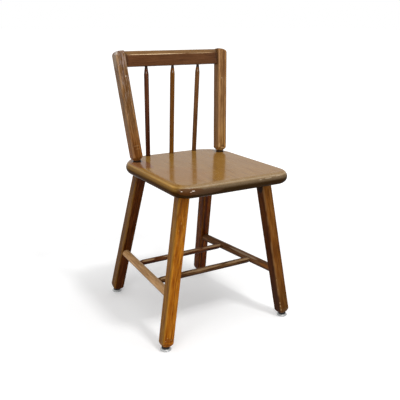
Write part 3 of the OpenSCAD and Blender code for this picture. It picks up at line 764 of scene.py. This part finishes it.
SPINDLE_FINISH = {
    LEFT: ("left", "dark_brown_wood", ((0.035, 0.007, 0.002), (0.075, 0.02, 0.006), (0.12, 0.042, 0.014))),
    0: ("middle", "orange_brown_wood", ((0.08, 0.024, 0.001), (0.135, 0.046, 0.004), (0.19, 0.075, 0.01))),
    RIGHT: ("right", "brown_wood", ((0.075, 0.025, 0.005), (0.12, 0.047, 0.012), (0.17, 0.075, 0.024))),
}
for place, (where, slot, tones) in SPINDLE_FINISH.items():
    foot, head = spindle_ends(place)
    shaft = (head - foot).length
    rings = [
        (-SPINDLE_TENON, SPINDLE_NECK_D), (-0.002, SPINDLE_NECK_D), (-0.0015, SPINDLE_D),
        (shaft - SPINDLE_TAPER, SPINDLE_D), (shaft, SPINDLE_NECK_D), (shaft + SPINDLE_TENON, SPINDLE_NECK_D),
    ]
    rod, matrix = turned_piece("round_spindle_" + where, foot, head, rings, sides=32)
    shoulder = shaft - SPINDLE_TAPER
    finish = stained_wood(
        "stained_spindle_" + where, matrix, tones, 5.7 + place,
        marks=[
            # darker at the neck under the rail: painted shade
            ((0, 0, shaft + 0.002), (0.012, 0.012, 0.015), (0.03, 0.02, 0.016), 0.9),
            # pale patches on the shoulder: worn varnish with a painted highlight
            ((-0.003, -0.007, shoulder + 0.007), (0.003, 0.003, 0.009), (0.34, 0.27, 0.22), 0.8),
            ((0.005, -0.005, shoulder + 0.004), (0.002, 0.003, 0.006), (0.28, 0.2, 0.15), 0.7),
            # painted contact shade at the foot on the seat
            ((0, 0, -0.001), (0.012, 0.012, 0.005), (0.02, 0.01, 0.005), 0.8),
        ],
    )
    dress(rod, finish, "spindle_" + where)


# --------------------------------------------------------------------------------------
# Glides
# --------------------------------------------------------------------------------------
def plain_finish(name, clean, soiled, metallic, rough, scale):
    """A plain finish with soiled specks, uneven gloss and a fine bump."""
    n = Nodes(bpy.data.materials.new(name))
    speck = n.noise(n.add("TexCoord").outputs["Object"], scale, 4.0, 0.65)
    bump = n.add("Bump", Strength=0.2, Distance=0.0003, Height=speck)
    roughness = n.ramp(speck, 0.3, 0.7, rough, rough + 0.2)
    shader = n.add("BsdfPrincipled", Roughness=roughness, Normal=bump.outputs[0])
    n.tree.links.new(n.mix(n.ramp(speck, 0.48, 0.72), clean, soiled), shader.inputs["Base Color"])
    shader.inputs["Metallic"].default_value = metallic
    n.finish(shader)
    return bpy.data.materials[name]


STEEL = plain_finish("dull_glide_steel", (0.52, 0.53, 0.53), (0.28, 0.28, 0.27), 0.5, 0.3, 260.0)
RUBBER = plain_finish("black_glide_rubber", (0.008, 0.006, 0.006), (0.03, 0.024, 0.02), 0.0, 0.6, 400.0)
for row in ROWS:
    for side in SIDES:
        for part, finish in (("base", STEEL), ("cushion", RUBBER), ("nail", STEEL)):
            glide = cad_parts[f"glide_{part}_{ROW_NAME[row]}_{SIDE_NAME[side]}"].data
            glide.materials.clear()
            glide.materials.append(finish)

# --------------------------------------------------------------------------------------
# Floor, room and lamps
# --------------------------------------------------------------------------------------
ROOM_LEVEL, ROOM_FRONT_GLOSS = 0.66, 0.25
FLOOR_SEEN, FLOOR_BOUNCE = 0.95, 0.72
SHADE_MIDDLE, SHADE_REACH, FAR_REACH = (-0.14, 0.06, 0), (0.18, 0.5), (0.7, 1.8)
SHADE_GLOW, FLOOR_GLOW, FLOOR_FAR_GLOW = 0.075, 0.22, 0.3


def background_rays(n):
    """1 for the rays that show the background: seen directly, in a reflection or through glass."""
    rays = n.add("LightPath").outputs
    seen = n.math("ADD", rays["Is Camera Ray"], rays["Is Glossy Ray"])
    return n.math("ADD", seen, rays["Is Transmission Ray"], clamp=True), rays


bpy.ops.object.select_all(action="DESELECT")
bpy.ops.mesh.primitive_plane_add(size=60, location=(0, 0, 0))
floor = bpy.context.object
floor.name = "floor"
n = Nodes(bpy.data.materials.new("pale_floor"))
shown = background_rays(n)[0]
board = n.add("BsdfDiffuse", Color=n.mix(shown, (FLOOR_BOUNCE,) * 3, (FLOOR_SEEN,) * 3))
# past the chair's shadow the floor glows up to the room's white, out of the lamps' reach; a lower glow round
# SHADE_MIDDLE paints a shade pool under and behind the chair
from_shade = n.add("VectorMath", operation="SUBTRACT", i0=n.add("TexCoord").outputs["Object"])
from_shade.inputs[1].default_value = SHADE_MIDDLE
away = n.add("VectorMath", operation="LENGTH", i0=from_shade.outputs[0]).outputs["Value"]
level = n.math(
    "ADD", n.ramp(away, *SHADE_REACH, SHADE_GLOW, FLOOR_GLOW), n.ramp(away, *FAR_REACH, 0.0, FLOOR_FAR_GLOW)
)
glow = n.add("Emission", Strength=n.math("MULTIPLY", shown, level))
both = n.add("AddShader")
n.tree.links.new(board.outputs[0], both.inputs[0])
n.tree.links.new(glow.outputs[0], both.inputs[1])
n.finish(both)
floor.data.materials.append(bpy.data.materials["pale_floor"])

# the room is white to look at, and dimmer in front of the chair where its varnish mirrors it
bpy.context.scene.world = bpy.data.worlds.new("pale_room")
n = Nodes(bpy.context.scene.world, "OutputWorld")
shown, rays = background_rays(n)
depth = n.add("SeparateXYZ", Vector=n.add("TexCoord").outputs["Generated"]).outputs[1]
mirrored = n.ramp(depth, -0.35, 0.45, ROOM_FRONT_GLOSS, 1.0)
mirrored = n.math("MAXIMUM", mirrored, rays["Is Camera Ray"])
level = n.math("MULTIPLY_ADD", n.math("SUBTRACT", mirrored, ROOM_LEVEL), shown, ROOM_LEVEL)
n.finish(n.add("Background", Color=(1, 1, 1, 1), Strength=level))


def lamp(name, location, target, size, watts):
    """A square softbox that faces its target."""
    light = bpy.data.lights.new(name, "AREA")
    light.shape, light.size, light.energy = "SQUARE", size, watts
    obj = bpy.data.objects.new(name, light)
    bpy.context.scene.collection.objects.link(obj)
    obj.location = location
    obj.rotation_euler = (Vector(target) - Vector(location)).to_track_quat("-Z", "Y").to_euler()
    obj.visible_camera = False


lamp("softbox_front", (0.2, -1.2, 2.5), (0, 0, 0.3), 0.3, 22)
lamp("softbox_left", (-1.7, -1.6, 1.5), (0, 0, 0.4), 1.6, 22)
lamp("softbox_right", (1.6, -1.7, 1.5), (0, 0, 0.4), 1.2, 4)

# --------------------------------------------------------------------------------------
# Camera
# --------------------------------------------------------------------------------------
CAMERA_SPIN, CAMERA_TILT, CAMERA_ROLL = radians(-31.863), radians(16.78), radians(0.626)
CAMERA_DISTANCE, CAMERA_SENSOR, CAMERA_LENS, CAMERA_REACH = 1.75302, 36, 55.571, 100
AIM = Vector((-0.00206, SEAT_MID, 0.34604))
back = Vector((sin(CAMERA_SPIN) * cos(CAMERA_TILT), -cos(CAMERA_SPIN) * cos(CAMERA_TILT), sin(CAMERA_TILT)))
right = Vector((cos(CAMERA_SPIN), sin(CAMERA_SPIN), 0))
axes = Matrix((right, back.cross(right), back)).transposed() @ Matrix.Rotation(CAMERA_ROLL, 3, "Z")
camera = bpy.data.objects.new("camera", bpy.data.cameras.new("camera"))
bpy.context.scene.collection.objects.link(camera)
camera.matrix_world = placed(AIM + back * CAMERA_DISTANCE, axes)
camera.data.sensor_width, camera.data.lens, camera.data.clip_end = CAMERA_SENSOR, CAMERA_LENS, CAMERA_REACH
bpy.context.scene.camera = camera
bpy.context.scene.view_settings.view_transform = "Standard"
